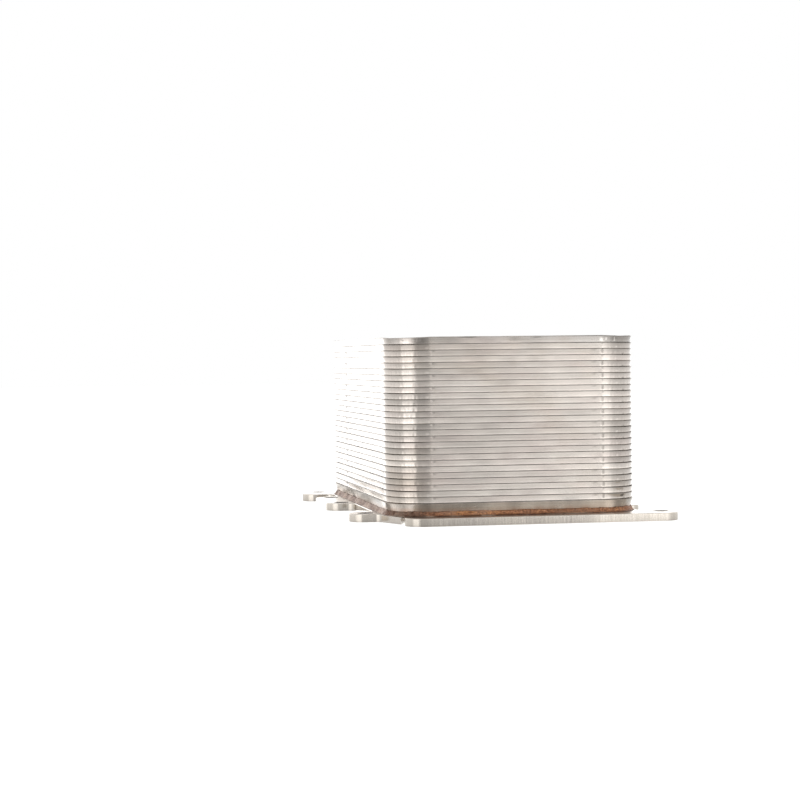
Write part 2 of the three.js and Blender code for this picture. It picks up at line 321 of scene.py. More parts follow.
def plated_steel():
    """Blanked steel plate with a thin bright plating, faintly yellow in places. Its sheared
    edge is torn in fine upright lines and shines more towards the plate's left and right
    ends, and its holes are darker inside."""
    m = Shader("plated_steel")
    sheared, inner = m.attribute("edge"), m.attribute("bore")
    clouds = m.noise((24, 24, 24), detail=4.0)
    scuffs = m.noise((60, 900, 300), detail=4.0, roughness=0.6)
    pits = m.noise((900, 900, 900), detail=3.0)
    torn = m.noise((620, 620, 50), detail=5.0, roughness=0.7, offset=(2, 8, 3))
    band = m.noise((90, 90, 900), detail=3.0, offset=(6, 2, 9))
    steel = m.mix(m.span(clouds, 0.35, 0.65, 0.0, 1.0), DULL_PLATING, YELLOW_PLATING)
    steel = m.mix(m.span(scuffs, 0.55, 0.75, 0.0, 0.35), steel, SCUFFED_PLATING)
    steel = m.mix(m.product(sheared, m.span(torn, 0.42, 0.72, 0.0, 0.5)), steel, TORN_STEEL)
    steel = m.mix(m.product(sheared, m.span(band, 0.5, 0.75, 0.0, 0.3)), steel, BANDED_STEEL)
    # Painted highlight: the sheared edge is made brighter towards the plate's left and right
    # ends and a little duller between.
    across = m.node("SeparateXYZ", ("Vector", m.place)).outputs["X"]
    painted_sheen = m.math(
        "MAXIMUM",
        m.span(across, -75 * MM, -50 * MM, 1.16, 0.95),
        m.span(across, 36 * MM, 40 * MM, 0.95, 1.17),
    )
    steel = m.mix(sheared, steel, m.shade(steel, painted_sheen))
    # Painted shade darkens the inside of the holes, through the `bore` value.
    steel = m.mix(m.product(inner, 0.85), steel, HOLE_SHADE)
    rough = m.math("ADD", m.span(clouds, 0.3, 0.7, 0.24, 0.33), m.product(sheared, -0.12))
    relief = m.bump(scuffs, 0.006)
    relief = m.bump(m.product(torn, sheared), 0.045, relief)
    relief = m.bump(pits, 0.004, relief)
    return m.finish(steel, rough, relief)


FIN_DULL = (0.5, 0.48, 0.45, 1)
FIN_BRIGHT = (0.62, 0.6, 0.56, 1)
FIN_COPPER = (0.5, 0.32, 0.2, 1)


def fin_stock():
    """Thin rolled fin sheet, blushed with copper where the braze has run."""
    m = Shader("fin_stock")
    rolling = m.noise((30, 900, 900), detail=3.0)
    blush = m.noise((70, 70, 300), detail=3.0)
    fin = m.mix(m.span(rolling, 0.3, 0.7, 0.0, 1.0), FIN_DULL, FIN_BRIGHT)
    fin = m.mix(m.span(blush, 0.55, 0.75, 0.0, 0.5), fin, FIN_COPPER)
    return m.finish(fin, m.span(rolling, 0.3, 0.7, 0.3, 0.42), m.bump(rolling, 0.01))


# ------------------------------------------------------------------ meshes


class Outline:
    """The stack's rounded rectangle, anticlockwise from +X, as columns with a place, an
    outward normal, a distance along it and a corner weight, 1 in the middle of a corner."""

    NEAR_END = (0.0, 0.4, 0.8, 1.2, 1.6, 2.4, 4.0, 6.5)
    STEP = 4.0

    def __init__(self, half_x, half_y, radius):
        cx, cy = half_x - radius, half_y - radius
        columns = []
        self.length = 0.0
        self.starts = []  # where each straight side starts: rear, left, front and right
        for quarter in range(4):
            centre = (cx if quarter in (0, 3) else -cx, cy if quarter in (0, 1) else -cy)
            side = 2 * (cx if quarter in (0, 2) else cy)
            columns += self.round_columns(quarter, centre, radius)
            self.length += radius * math.pi / 2
            self.starts.append(self.length)
            columns += self.straight_columns(quarter, centre, radius, side)
            self.length += side
        self.count = len(columns)
        self.place, self.normal, self.along, self.corner, self.quarter = (
            np.array(values) for values in zip(*columns)
        )

    def round_columns(self, quarter, centre, radius):
        """The columns of one corner, which carries on from the outline's length so far."""
        for step in range(CORNER_STEPS):
            turn = step / CORNER_STEPS
            angle = (quarter + turn) * math.pi / 2
            out = (math.cos(angle), math.sin(angle))
            place = (centre[0] + radius * out[0], centre[1] + radius * out[1])
            along = self.length + turn * radius * math.pi / 2
            yield place, out, along, math.sin(turn * math.pi), quarter

    def straight_columns(self, quarter, centre, radius, side):
        """The columns of the straight side that comes after a corner."""
        facing = (quarter + 1) * math.pi / 2
        out = (math.cos(facing), math.sin(facing))
        for distance in self.stops(side):
            x = centre[0] + radius * out[0] - distance * out[1]
            y = centre[1] + radius * out[1] + distance * out[0]
            yield (x, y), out, self.length + distance, 0.0, quarter

    def stops(self, side):
        """Distances along a straight side, closer together near its ends."""
        near = list(self.NEAR_END)
        middle = np.arange(near[-1] + self.STEP, side - near[-1], self.STEP).tolist()
        return near + middle + [side - d for d in reversed(near[1:])]

    def ring(self, inset, z):
        """Points of the outline drawn in by `inset`, both of them numbers or one per column."""
        xy = self.place - self.normal * np.reshape(inset, (-1, 1))
        return np.column_stack([xy, np.broadcast_to(z, self.count)])

    def ripple(self, rng, wavelengths, amplitude, terms=9):
        """A smooth random wave round the outline, from -amplitude to amplitude or so."""
        total = np.zeros(self.count)
        for _ in range(terms):
            cycles = round(self.length / rng.uniform(*wavelengths))
            phase = rng.uniform(0, 2 * math.pi)
            total += np.cos(2 * math.pi * cycles * self.along / self.length + phase)
        return total * amplitude / math.sqrt(terms)


OUTLINE = Outline(HALF_X, HALF_Y, CORNER_RADIUS)
FRONT_LENGTH = 2 * (HALF_X - CORNER_RADIUS)
SIDE_LENGTH = 2 * (HALF_Y - CORNER_RADIUS)
REAR_START, LEFT_START, FRONT_START = OUTLINE.starts[:3]
REAR_END = REAR_START + FRONT_LENGTH
LEFT_END = LEFT_START + SIDE_LENGTH
FRONT_END = FRONT_START + FRONT_LENGTH


def circle(x, y, radius, steps, z):
    angle = np.arange(steps) * 2 * math.pi / steps
    ring = np.column_stack([x + radius * np.cos(angle), y + radius * np.sin(angle)])
    return np.column_stack([ring, np.full(steps, z)])


def inside(point, loop):
    """True if a point lies in a closed loop of points."""
    x, y = point
    ax, ay = loop[:, 0], loop[:, 1]
    bx, by = np.roll(ax, -1), np.roll(ay, -1)
    crosses = (ay > y) != (by > y)
    with np.errstate(divide="ignore", invalid="ignore"):
        at = ax + (y - ay) * (bx - ax) / (by - ay)
    return bool(np.count_nonzero(crosses & (x < at)) % 2)


class Body:
    """Points, faces and values for each point, gathered into one closed mesh."""

    SHARP = math.radians(32)

    def __init__(self, **usual):
        self.points = []
        self.faces = []
        self.flat = set()  # faces that are shaded flat
        self.usual = usual
        self.values = {key: [] for key in usual}

    def ring(self, points, **values):
        """Adds a ring of points, with a value or one per point for each key."""
        first = len(self.points)
        self.points.extend(points.tolist())
        for key, usual in self.usual.items():
            spread = np.broadcast_to(values.get(key, usual), len(points))
            self.values[key].extend(spread.tolist())
        return list(range(first, first + len(points)))

    def plain(self, ring):
        """Gives a ring the usual values, so that they stay even over the cap it borders."""
        for key, usual in self.usual.items():
            self.values[key][ring[0] : ring[-1] + 1] = [usual] * len(ring)

    def walls(self, rings):
        """Joins each ring to the next, with the outside on the right of the way up."""
        for low, high in zip(rings, rings[1:]):
            count = len(low)
            for i in range(count):
                j = (i + 1) % count
                self.faces.append((low[i], low[j], high[j], high[i]))

    def bore(self, x, y, rows, steps, **values):
        """A round wall up through a plate from rows of (radius, height); its end rings."""
        rings = [self.ring(circle(x, y, radius, steps, z), **values) for radius, z in rows]
        self.walls([ring[::-1] for ring in rings])
        self.plain(rings[0])
        self.plain(rings[-1])
        return rings[0], rings[-1]

    def cap(self, outer, holes, up):
        """Fills between an outer ring and the rings of holes, facing up or down."""
        loops = [outer, *holes]
        index = [i for loop in loops for i in loop]
        flat = np.array([self.points[i][:2] for i in index])
        edges, first = [], 0
        for loop in loops:
            count = len(loop)
            edges += [(first + i, first + (i + 1) % count) for i in range(count)]
            first += count
        _, _, triangles, origin, _, _ = delaunay_2d_cdt(
            [Vector(p) for p in flat], edges, [], 0, 1e-6
        )
        source = [o[0] for o in origin]
        borders = [np.array([self.points[i][:2] for i in loop]) for loop in loops]
        for triangle in triangles:
            a, b, c = (source[i] for i in triangle)
            middle = (flat[a] + flat[b] + flat[c]) / 3
            if not inside(middle, borders[0]) or any(inside(middle, b) for b in borders[1:]):
                continue
            ab, ac = flat[b] - flat[a], flat[c] - flat[a]
            if (ab[0] * ac[1] - ab[1] * ac[0] > 0) != up:
                b, c = c, b
            self.flat.add(len(self.faces))
            self.faces.append((index[a], index[b], index[c]))

    def piece(self, name, material, slot, replaced):
        """The finished piece, which stands for a CAD node."""
        mesh = bpy.data.meshes.new(name)
        mesh.from_pydata((np.array(self.points) * MM).tolist(), [], self.faces)
        for key, values in self.values.items():
            stored = mesh.attributes.new(key, "FLOAT", "POINT")
            stored.data.foreach_set("value", np.array(values, dtype=np.float32))
        mesh.validate()
        mesh.shade_smooth()
        mesh.set_sharp_from_angle(angle=self.SHARP)
        smooth = [face not in self.flat for face in range(len(self.faces))]
        mesh.polygons.foreach_set("use_smooth", smooth)
        mesh.materials.append(material)
        piece = bpy.data.objects.new(name, mesh)
        bpy.context.scene.collection.objects.link(piece)
        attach(piece, "root")
        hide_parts(replaced)
        return piece


# ------------------------------------------------------------------ wall profiles
# A profile runs from a dish's underside up its outside, over the rim and down to its floor.
# Each row is an inset from the outline, a height from the rim, and how dark the rim shows.


def bend(inset, height, run, rise, steps=4):
    """A quarter bend from a floor, `rise` below `height`, up into an upright wall."""
    turns = [step / steps * math.pi / 2 for step in range(steps, -1, -1)]
    return [
        (inset + run * (1 - math.cos(turn)), height - rise * math.sin(turn), 0.0)
        for turn in turns
    ]


def skirt(foot, top, curve, steps=9):
    """A wall from its foot to its top, each an (inset, height), steeper towards the foot."""
    rows = []
    for step in range(steps + 1):
        down = 1 - step / steps
        inset = top[0] + (foot[0] - top[0]) * (1 - (1 - down) ** curve)
        rows.append((inset, top[1] + (foot[1] - top[1]) * down, 0.0))
    return rows


def lip(inset, radius, steps=6):
    """The rounded rim of a sheet, from its outside to its inside."""
    turns = [step / steps * math.pi for step in range(steps + 1)]
    return [
        (inset + radius * (1 - math.cos(turn)), radius * (math.sin(turn) - 1), 1.0)
        for turn in turns
    ]


def dish_wall(depth, sheet, rim, foot, curve, knee, run, radius=LIP_RADIUS):
    """The whole wall of a dish `depth` deep. `rim` is the rim's inset, `foot` the inset and
    height where the visible wall ends, and `knee` the height of the bend into the floor."""
    low = bend(foot[0] + 0.1, knee, run, depth + knee)
    outside = skirt(foot, (rim + RIM_SHADOW, -radius - 0.3), curve)
    shadow = [(rim + RIM_SHADOW / 2, -radius - 0.18, 0.85)]
    inner_foot = foot[0] + sheet
    inner_knee = (knee - rim) * 0.85
    inner_bend = bend(inner_foot, inner_knee, run - 0.1, depth - sheet + inner_knee)
    inside_top = [(rim + 2 * radius + 0.03, -radius - 0.2, 0.2)]
    return low + outside + shadow + lip(rim, radius) + inside_top + inner_bend[::-1]


def depth_of(node):
    low, high = box_mm(node)
    return high[2] - low[2]


def channel_wall(rim, foot_inset, curve):
    """A channel plate's wall, which shows down to the rim of the plate below it."""
    depth = depth_of("channel_plate_01")
    foot = (foot_inset, FOOT_LIFT - PITCH)
    return dish_wall(depth, SHEET, rim, foot, curve, knee=KNEE_LIFT - PITCH, run=FLOOR_BEND)


LONG_LIP = channel_wall(rim=0.0, foot_inset=0.5, curve=1.6)
SHORT_LIP = channel_wall(rim=0.14, foot_inset=0.66, curve=1.9)
COVER_WALL = dish_wall(
    depth_of("cover_plate"),
    COVER_SHEET,
    rim=0.0,
    foot=(0.62, -3.72),
    curve=1.5,
    knee=-3.76,
    run=FLOOR_BEND,
    radius=COVER_LIP_RADIUS,
)
BASE_WALL = dish_wall(
    depth_of("base_plate"),
    BASE_SHEET,
    rim=0.02,
    foot=(1.2, -4.7),
    curve=1.1,
    knee=-4.8,
    run=BASE_FLOOR_BEND,
)

FILLET_WALL = [
    # Inset from the outline, and height above the ground, of the copper bead: its underside,
    # its outside face and its hidden back.
    (3.95, 4.62), (2.0, 4.55), (-0.2, 4.53), (-0.95, 4.54), (-0.8, 4.72), (-0.4, 5.0),
    (-0.02, 5.4), (0.32, 5.95), (0.62, 6.5), (0.86, 6.95), (1.05, 7.2), (1.17, 7.17),
    (1.42, 6.68), (1.87, 5.98), (2.47, 5.28), (3.1, 4.87), (3.9, 4.76),
]
FILLET_FACE = range(3, 11)  # the rows of its outside face, which are the uneven ones

# ------------------------------------------------------------------ irregular pressings

# Many marks carry painted light: the dark look they bring to grooves and creases is painted
# shade, and much of their brightening and dulling is painted highlight and reflection.
Mark = namedtuple("Mark", "along width top bottom depth dark light", defaults=(0.0, 0.0, 0.0))
Mark.__doc__ = """A dent or smear on a wall: where it is round the outline, how wide, between
which heights from the rim, how deep, how much of the dark rim's look it brings, and how much
it brightens the sheet. Where `dark` is below 0 it takes the dark look away, and where `depth`
or `light` is below 0 the sheet stands out or is duller."""


def strength(mark, height, soft=0.25):
    """How strongly a mark shows at a height from the rim, fading out past its ends."""
    above, below = mark.top + soft - height, height - mark.bottom + soft
    return max(0.0, min(1.0, above / soft, below / soft))


def arc_at(degrees):
    """Distance along the outline from a corner's start to a point `degrees` round it."""
    return CORNER_RADIUS * math.radians(degrees)


def bump_at(along, width):
    """1 at a distance along the outline, falling off smoothly on both sides, per column."""
    return np.exp(-(((OUTLINE.along - along) / width) ** 2))


SHORT_LIP_MARKS = [
    # The press leaves a groove where the front and rear walls run into a corner, darkened
    # with painted shade, and bruises.
    Mark(FRONT_END + 0.3, 0.55, -0.2, -2.7, depth=0.1, dark=0.45),
    Mark(REAR_END + 0.3, 0.55, -0.2, -2.7, depth=0.1, dark=0.45),
    Mark(FRONT_START + 0.9, 0.7, -0.35, -1.2, depth=0.05, dark=0.5),
    Mark(REAR_START + 0.9, 0.7, -0.35, -1.2, depth=0.05, dark=0.5),
    Mark(FRONT_END - 4.2, 1.3, -0.4, -1.2, dark=0.3),
    Mark(FRONT_END + arc_at(38), 0.8, -2.75, -3.3, dark=0.9),
    Mark(LEFT_END - 2.5, 2.8, -0.2, -0.7, dark=0.8),
    Mark(LEFT_START + 47, 3.0, 0.1, -1.4, depth=0.1, dark=0.95),
]
LONG_LIP_MARKS = [
    # The same groove with painted shade, but short and only in front, and small bumps low
    # on the corners with painted highlights on them.
    Mark(FRONT_END + 0.3, 0.55, -0.2, -1.2, depth=0.05, dark=0.35),
    Mark(FRONT_END + arc_at(24.5), 0.6, -2.3, -3.1, depth=-0.06, light=1.0),
    Mark(REAR_END + arc_at(24.5), 0.6, -2.3, -3.1, depth=-0.06, light=1.0),
    Mark(FRONT_START - 2.2, 0.8, -1.9, -3.1, depth=-0.05, light=0.7),
]
BASE_MARKS = [
    # A crease in the left wall darkened with painted shade, scuffs beside it, painted
    # highlights and painted dark reflections at the corners, and stretches of the left and
    # front walls made duller or brighter.
    Mark(LEFT_END - 115, 4.5, 0.0, -4.6, depth=0.5, dark=0.75),
    Mark(LEFT_END - 60, 55.0, 0.0, -4.6, dark=0.2, light=-0.25),
    Mark(LEFT_END - 103, 5.0, -1.6, -2.6, depth=0.12, dark=0.35),
    Mark(LEFT_END - 20, 14.0, -0.4, -4.6, dark=0.2, light=-0.2),
    Mark(LEFT_END - 3, 4.0, -0.4, -4.6, light=1.2),
    Mark(FRONT_START - arc_at(56), 3.4, -0.4, -4.6, light=1.4),
    Mark(FRONT_START + 4, 12.0, -0.4, -4.6, light=-0.22),
    Mark(FRONT_END - 4, 16.0, -0.4, -4.6, light=0.2),
    Mark(LEFT_END - 70, 7.0, -1.8, -2.8, depth=0.1, dark=0.3),
    Mark(FRONT_START - arc_at(74), 2.2, -1.4, -4.6, depth=0.08, dark=0.65),
    Mark(FRONT_END + arc_at(10.5), 2.8, -0.6, -4.6, light=1.0),
    Mark(FRONT_END + arc_at(26.5), 2.4, -0.9, -4.6, depth=0.1, dark=0.5),
    Mark(FRONT_START + 27, 3.2, -0.6, -3.4, dark=0.16),
]


NICKS = 9  # in each knocked stretch of the cover's edge


def cover_marks():
    """Cleaner and duller stretches of the cover's wall, and nicks knocked into its edge."""
    rng = random.Random(17)
    marks = [
        Mark(FRONT_START - arc_at(14), 5.0, -0.4, -3.4, dark=0.95),
        Mark(FRONT_START - arc_at(35), 3.2, -0.5, -3.4, light=0.7),
        Mark(FRONT_START - arc_at(66), 3.0, -0.5, -3.4, light=-0.35),
        Mark(FRONT_START + 9, 9.0, -0.5, -3.4, light=-0.2),
        Mark(LEFT_START + SIDE_LENGTH / 2, SIDE_LENGTH / 2, 0.3, -0.8, dark=-0.85),
        Mark(FRONT_START + 46, 3.0, -0.5, -2.6, depth=0.04, dark=0.4),
        Mark(FRONT_START + 57.5, 0.6, 0.0, -1.6, depth=0.06, light=1.0),
        Mark(FRONT_START + FRONT_LENGTH / 2, FRONT_LENGTH / 2, 0.3, -0.5, dark=-0.6),
    ]
    for start in (FRONT_START + 14, FRONT_START + 43, REAR_START + 60):
        for _ in range(NICKS):
            along, bottom = start + rng.uniform(0, 16), rng.uniform(-1.3, -0.6)
            marks.append(Mark(along, rng.uniform(0.3, 0.7), -0.1, bottom, depth=0.12, dark=0.9))
    for start in (FRONT_START - arc_at(42), FRONT_END - 2, REAR_START - arc_at(40), REAR_END):
        for _ in range(NICKS):
            marks.append(
                Mark(
                    along=start + rng.uniform(0, 11),
                    width=rng.uniform(0.4, 0.9),
                    top=rng.uniform(-1.8, -0.8),
                    bottom=rng.uniform(-3.3, -1.9),
                    depth=rng.uniform(-0.05, 0.16),
                    dark=rng.choice((0.0, 0.0, 0.7)),
                    light=rng.choice((0.0, 0.7)),
                )
            )
    return marks


class Skin:
    """What is irregular about one pressed dish: waviness, corner draw marks, burrs, bruises."""

    FADE = 2.5  # the waviness is full from 1 / FADE of the wall's height up
    DROOP = 0.45  # how far the rims sag in the corners
    DROOP_REACH = 3.0  # down to this depth
    BURR_REACH = 0.5  # the depth to which the rim's burrs pull the wall down
    CORNER_TONE = 0.3  # how much brighter or duller a corner tends to be
    # Painted light: the rims of the lit left and right walls are made this much less dark.
    SIDE_RIM = 0.05  # the rims of the left and right walls are this much less dark

    def __init__(self, seed, marks=(), wrinkle=0.034, tint=0.5, spread=0.0):
        """The ripples' wavelengths and amplitudes are in millimetres; `wrinkle` is the
        amplitude of the draw marks, and the tint is drawn from `tint` plus or minus `spread`."""
        rng = random.Random(seed)
        o = OUTLINE
        self.bow = np.clip(0.05 + o.ripple(rng, (14, 50), 0.045), 0, None)
        self.draw = o.ripple(rng, (2.2, 4.2), wrinkle) * o.corner**0.6
        self.burr = o.ripple(rng, (6, 30), 0.03) + o.ripple(rng, (1.5, 4), 0.012)
        self.lean = rng.uniform(-0.08, 0.08)
        self.tint = tint + rng.uniform(-spread, spread)
        self.tones = [rng.gauss(0, self.CORNER_TONE) for _ in range(4)]
        self.marks = marks

    def ring(self, body, inset, height, edge, rim, depth):
        """Adds one row of the wall to a body, with what is irregular about it."""
        o = OUTLINE
        level = max(0.0, 1 + height / depth)
        shown = min(1.0, level * self.FADE)
        inset = inset + shown * self.bow * (1.3 - level)
        inset = inset + shown * (1 - level) * (2 * self.draw + self.lean)
        dark = edge * (1 - self.SIDE_RIM * o.normal[:, 0] ** 2)
        tint = self.tint + np.array(self.tones)[o.quarter] * np.minimum(1.0, 3 * o.corner)
        for mark in self.marks:
            weight = strength(mark, height) * bump_at(mark.along, mark.width)
            inset = inset + weight * mark.depth
            dark = np.maximum(dark, weight * mark.dark) * (1 + weight * min(0.0, mark.dark))
            tint = tint + weight * mark.light
        sag = np.minimum(self.burr, 0.0) * max(0.0, 1 + height / self.BURR_REACH)
        sag = sag - self.DROOP * o.corner * max(0.0, 1 + height / self.DROOP_REACH)
        points = o.ring(np.maximum(inset, 0.0), rim + height + sag)
        return body.ring(points, edge=dark, drop=-height, corner=o.corner, tint=tint)


def places(kind):
    """Centres in X and Y of the record's openings of one kind, such as port or bolt_hole."""
    found = []
    for opening in frame["record"]["physics"]["openings"]:
        if kind in opening["name"]:
            low, high = (np.array(corner) / MM for corner in opening["box_m"])
            found.append(tuple((low + high)[:2] / 2))
    return found


PORTS = places("port")
BOLT_HOLES = places("bolt_hole")


def dish(profile, skin, node):
    """A body with a swept wall from a profile; its first and last ring are left open."""
    low, high = box_mm(node)
    body = Body(edge=0.0, drop=0.0, corner=0.0, tint=skin.tint)
    rings = [skin.ring(body, *row, rim=high[2], depth=high[2] - low[2]) for row in profile]
    body.walls(rings)
    body.plain(rings[0])
    body.plain(rings[-1])
    return body, rings[0], rings[-1]


def port_rows(bottom, floor_top, collar_top):
    """A port's wall in a sheet. With a collar it rises to the plate above."""
    soft = 0.25
    rows = [(PORT_RADIUS + soft, bottom), (PORT_RADIUS, bottom + soft)]
    if collar_top is None:
        return rows + [(PORT_RADIUS, floor_top - 0.15), (PORT_RADIUS + 0.15, floor_top)]
    return rows + [
        (PORT_RADIUS, collar_top - soft),
        (PORT_RADIUS + soft, collar_top),
        (COLLAR_RADIUS - 2 * soft, collar_top),
        (COLLAR_RADIUS - 0.1, collar_top - 0.35),
        (COLLAR_RADIUS, floor_top + 0.3),
        (COLLAR_RADIUS + 2 * soft, floor_top),
    ]


def ported_plate(name, node, profile, skin, material, slot, sealed_side, collar_top):
    """A dish with four ports, two of them in collars that seal against the plate above."""
    low, high = box_mm(node)
    floor_top = high[2] + profile[-1][1]
    body, first, last = dish(profile, skin, node)
    under, over = [], []
    for x, y in PORTS:
        sealed = x * sealed_side > 0
        rows = port_rows(low[2], floor_top, collar_top if sealed else None)
        lowest, highest = body.bore(x, y, rows, PORT_STEPS)
        under.append(lowest)
        over.append(highest)
    body.cap(first, under, up=False)
    body.cap(last, over, up=True)
    return body.piece(name, material, slot, node)


def channel_plates(material):
    for level in range(1, PLATE_COUNT + 1):
        node = numbered("channel_plate", level)
        short = level % 2 == 1
        marks = SHORT_LIP_MARKS if short else LONG_LIP_MARKS
        ported_plate(
            numbered("pressed_plate", level),
            node,
            SHORT_LIP if short else LONG_LIP,
            Skin(100 + level, marks, tint=0.42 if short else 0.58, spread=0.2),
            material,
            "plate_steel",
            sealed_side=COOLANT_SIDE if short else OIL_SIDE,
            collar_top=box_mm(node)[0][2] + PITCH - COLLAR_GAP,
        )


def base_dish(material):
    return ported_plate(
        "base_dish",
        "base_plate",
        BASE_WALL,
        Skin(40, BASE_MARKS, wrinkle=0.012, tint=0.3),
        material,
        "base_steel",
        sealed_side=OIL_SIDE,
        collar_top=PLATE_LOW[2] - COLLAR_GAP,
    )


BLANK_PROFILE = [
    # Inset from a blank's edge, and share of its rise: its shoulder, then its dimple.
    (0, 0), (0.7, 0.1), (1.1, 0.37), (1.45, 0.75), (1.9, 0.94), (2.6, 1),
    (6.0, 1), (6.4, 0.95), (6.8, 0.83), (7.2, 0.78), (9.0, 0.78),
]


def cover_dish(material):
    """The closed top dish, with a low round blank and a dimple over each port."""
    node = "cover_plate"
    floor_top = box_mm(node)[1][2] + COVER_WALL[-1][1]
    body, first, last = dish(COVER_WALL, Skin(60, cover_marks(), wrinkle=0.03, tint=0.34), node)
    blanks = []
    for x, y in PORTS:
        rings = [
            body.ring(
                circle(x, y, BLANK_RADIUS - inset, PORT_STEPS, floor_top + rise * BLANK_RISE)
            )
            for inset, rise in BLANK_PROFILE
        ]
        body.walls(rings)
        body.faces.append(tuple(rings[-1]))
        blanks.append(rings[0])
    body.cap(first, [], up=False)
    body.cap(last, blanks, up=True)
    return body.piece("cover_dish", material, "cover_steel", node)


def copper_fillet(material):
    """Copper that welled out round the base plate's foot and froze in an uneven bead. It is
    new and bright near the front's left end, burnt in the corner there, dark on the left."""
    rng = random.Random(7)
    o = OUTLINE
    low, high = box_mm("braze_fillet")
    swell = o.ripple(rng, (9, 40), 0.1) + o.ripple(rng, (1.6, 5), 0.1)
    creep = np.clip(o.ripple(rng, (12, 60), 0.2) + o.ripple(rng, (2, 6), 0.12), -0.4, 0.1)
    crest = o.ripple(rng, (8, 40), 0.2) + o.ripple(rng, (1.6, 4), 0.12)
    spread = np.abs(o.normal[:, 1]) ** 4 * np.clip(o.ripple(rng, (10, 45), 0.9), 0, 2)
    # Painted glints near the front's left end, painted shade in the corner there and over the
    # left side.
    new = np.clip(bump_at(FRONT_START + 20, 16) + o.ripple(rng, (12, 60), 0.3), 0.05, 0.65)
    corner_shade = 1.1 * bump_at(FRONT_START - arc_at(30), 13)
    left = 0.95 * np.maximum(0.0, -o.normal[:, 0])
    body = Body(edge=0.0, tint=0.0)
    rings = []
    for row, (inset, z) in enumerate(FILLET_WALL):
        up = (z - low[2]) / (high[2] - low[2])
        if row in FILLET_FACE:
            inset = inset - swell * math.sin(math.pi * min(1.0, up + 0.15)) - creep * (1 - up)
            inset = inset - spread * max(0.0, 1 - 3.2 * up)
            z = z + crest * up**2
        # Dark lines along the bead's foot and top, partly flux and partly painted shade where it
        # meets the plates, and the painted shade of the left side.
        dark = np.maximum(left, max(1 - 4 * up, 0.4 * (6 * up - 5)))
        rings.append(body.ring(o.ring(inset, z), edge=dark, tint=new - corner_shade))
    body.walls([*rings, rings[0]])
    return body.piece("copper_fillet", material, "copper_braze", "braze_fillet")


def turbulators(material):
    """The CAD model's corrugated sheets serve as they are, with a material of their own."""
    for name, node in frame["nodes"].items():
        if name.startswith("turbulator"):
            node.data.materials.clear()
            node.data.materials.append(material)


# ------------------------------------------------------------------ the flange

ARC_STEP = math.radians(5)
LONGEST_STEP = 3.0
NICK_DEPTH = 0.035  # of the small tears in the sheared edge


def ear(side, y, half=EAR_HALF_WIDTH, tip=EAR_TIP, root=EAR_ROOT, reach=EAR_REACH):
    """The four corners of an ear, each with its radius, anticlockwise round the flange."""
    return [
        (side * SIDE_EDGE, y - side * half, root),
        (side * reach, y - side * half, tip),
        (side * reach, y + side * half, tip),
        (side * SIDE_EDGE, y + side * half, root),
    ]


def flange_corners():
    """The flange's outline, anticlockwise from the front: x, y and radius of each corner."""
    left, front = FLANGE_LOW[:2]
    right, back = FLANGE_HIGH[:2]
    return [
        (FRONT_CUT, front, FRONT_CUT_RADII[0]),
        (FRONT_TAB_REACH, front, EAR_TIP),
        (FRONT_TAB_REACH, TAB_BACK, EAR_TIP),
        (SIDE_EDGE, TAB_BACK, EAR_ROOT),
        *ear(1, LUG_Y, **LUG),
        *ear(1, RIGHT_EAR_Y),
        *ear(1, REAR_EAR_Y),
        (SIDE_EDGE, RIGHT_TAB_FRONT, EAR_ROOT),
        (right, RIGHT_TAB_FRONT, EAR_TIP),
        (right, back, EAR_TIP),
        (left, back, EAR_TIP),
        (left, LEFT_TAB_FRONT, EAR_TIP),
        (-SIDE_EDGE, LEFT_TAB_FRONT, EAR_ROOT),
        (-SIDE_EDGE, LONG_EAR_REAR, EAR_ROOT),
        (-EAR_REACH, LONG_EAR_REAR, EAR_TIP),
        (-EAR_REACH, LONG_EAR_FRONT, EAR_TIP),
        (-SIDE_EDGE, LONG_EAR_FRONT, EAR_ROOT),
        *ear(-1, LEFT_EAR_Y),
        (FRONT_CUT, front + FRONT_CUT_BACK, FRONT_CUT_RADII[1]),
    ]


def corner_arc(before, corner, after):
    """Points and outward normals of one rounded corner of an anticlockwise outline."""
    x, y, radius = corner
    here = Vector((x, y))
    back = (Vector(before[:2]) - here).normalized()
    onward = (Vector(after[:2]) - here).normalized()
    half = back.angle(onward) / 2
    centre = here + (back + onward).normalized() * (radius / math.sin(half))
    first = here + back * (radius / math.tan(half)) - centre
    side = 1 if back.cross(onward) < 0 else -1
    sweep = (math.pi - 2 * half) * side
    steps = max(2, round(abs(sweep) / ARC_STEP))
    points, normals = [], []
    for step in range(steps + 1):
        turn = sweep * step / steps
        spoke = Vector(
            (
                first.x * math.cos(turn) - first.y * math.sin(turn),
                first.x * math.sin(turn) + first.y * math.cos(turn),
            )
        )
        points.append(centre + spoke)
        normals.append(spoke.normalized() * side)
    return points, normals


def rounded(corners):
    """Points and outward normals all round an outline with rounded corners."""
    count = len(corners)
    arcs = [
        corner_arc(corners[i - 1], corners[i], corners[(i + 1) % count]) for i in range(count)
    ]
    points, normals = [], []
    for index, (arc, facing) in enumerate(arcs):
        points += arc
        normals += facing
        target = arcs[(index + 1) % count][0][0]
        pieces = math.ceil((target - arc[-1]).length / LONGEST_STEP)
        for piece in range(1, pieces):
            points.append(arc[-1].lerp(target, piece / pieces))
            normals.append(facing[-1])
    return np.array([tuple(p) for p in points]), np.array([tuple(n) for n in normals])


def hole_rows(radius, bottom, top, soft_low, soft_high):
    """Radius and height of the rows of a drilled hole's wall, its two ends softened."""
    return (
        (radius + soft_low, bottom),
        (radius, bottom + soft_low),
        (radius, top - soft_high),
        (radius + soft_high, top),
    )


